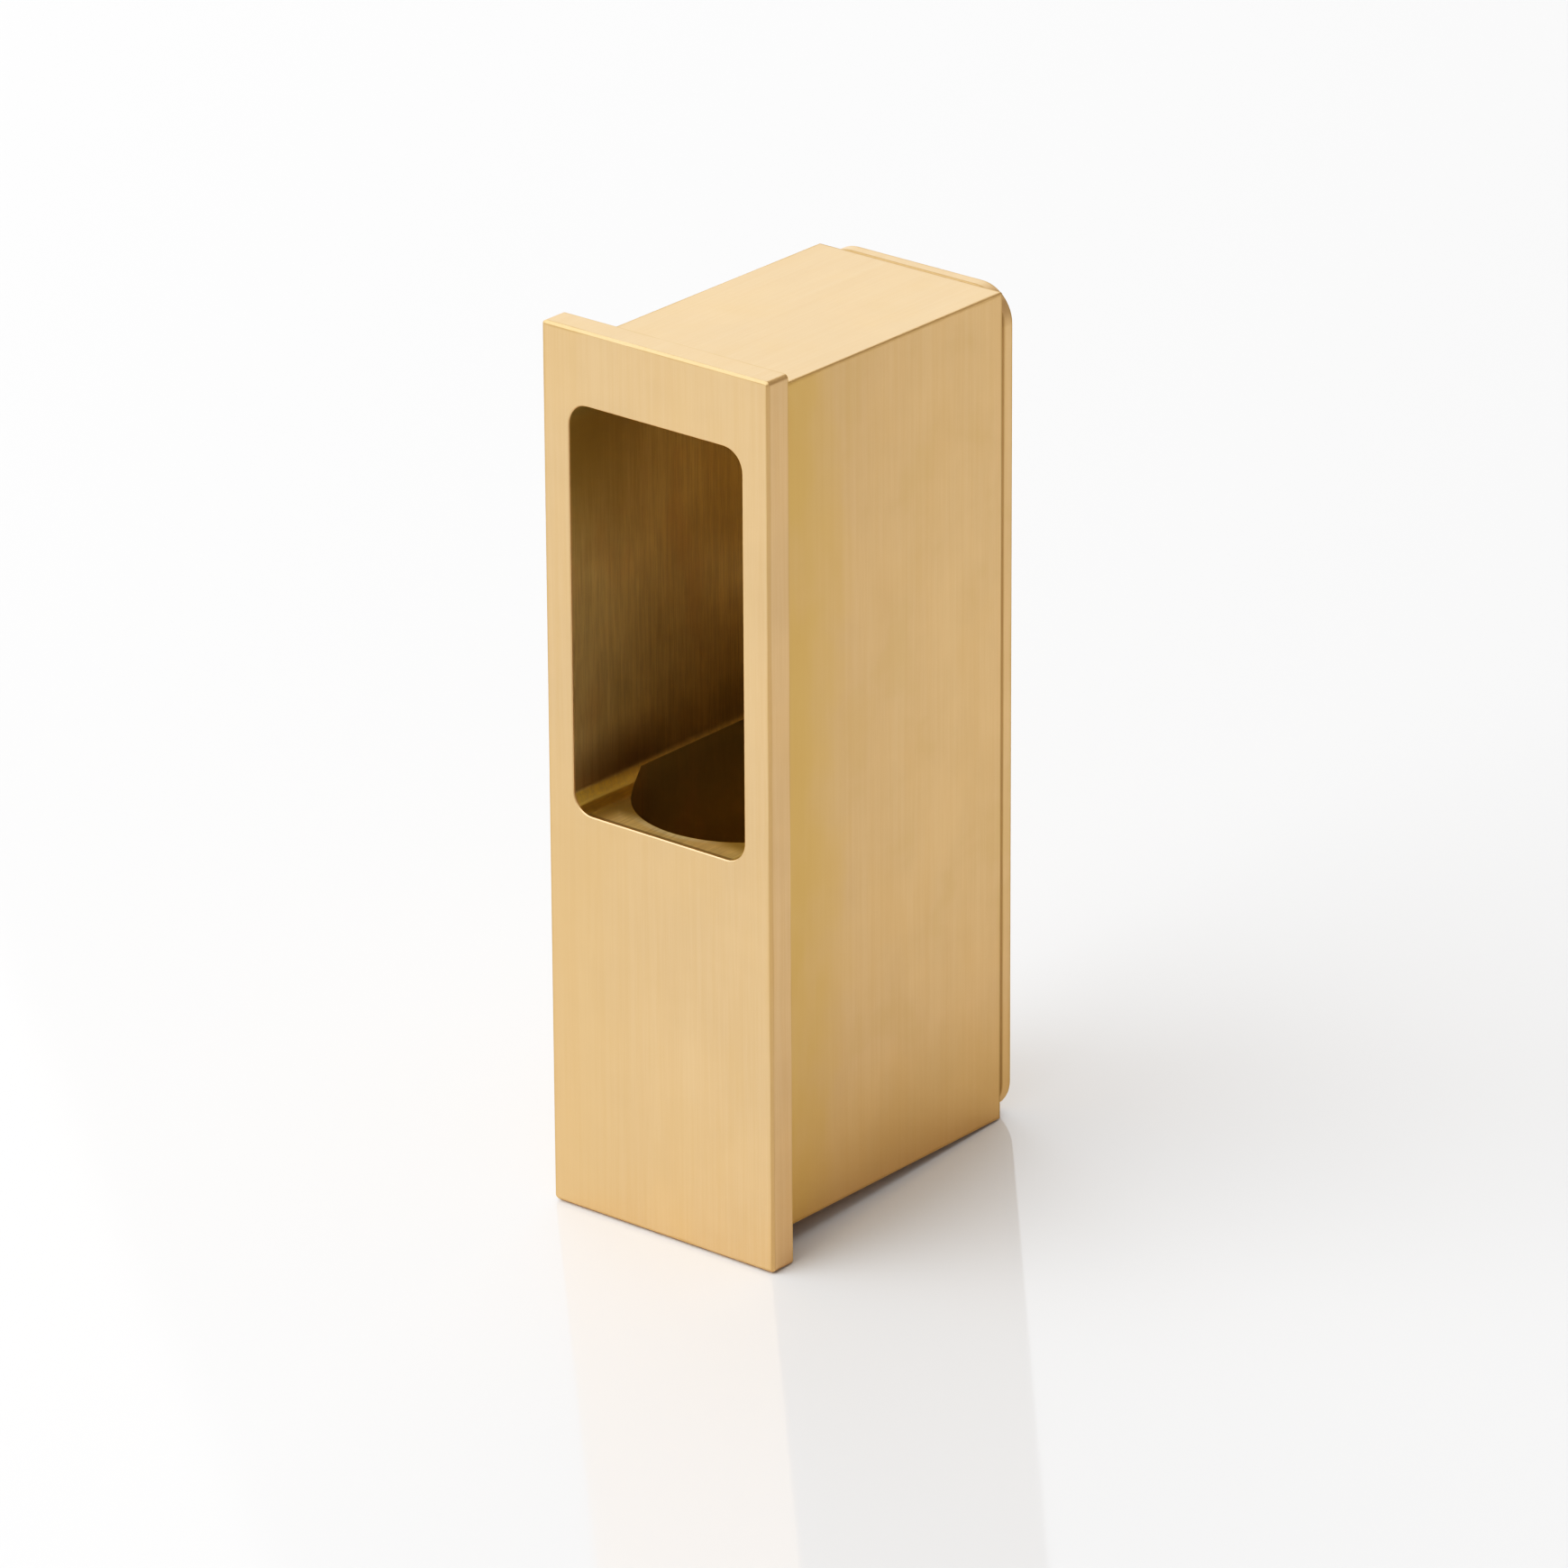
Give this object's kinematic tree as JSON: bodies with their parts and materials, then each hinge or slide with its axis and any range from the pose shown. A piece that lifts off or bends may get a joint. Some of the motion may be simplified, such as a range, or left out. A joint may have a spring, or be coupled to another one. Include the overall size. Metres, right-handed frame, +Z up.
{
  "type": "pocket door pull",
  "caption": "Solid brass pull for a pocket door's edge: face plate with a tall finger window, deep milled body with a hooking finger hollow, and a screwed back plate.",
  "frame": {"origin": "bottom centre of the whole object: midway across the face plate, midway between its front face and the back plate's rear face, level with the plate's lower edge", "axes": "+X across the plate, to the right as seen from the front; +Y from the front face into the door; +Z up"},
  "size_m": [0.0306, 0.0438, 0.1],
  "materials": {
    "satin_brass": "satin, brushed upright",
    "screw_brass": "turned"
  },
  "bodies": {
    "root": {"housing": "satin_brass", "back_plate": "satin_brass", "back_plate_screws": "screw_brass"}
  },
  "joints": []
}
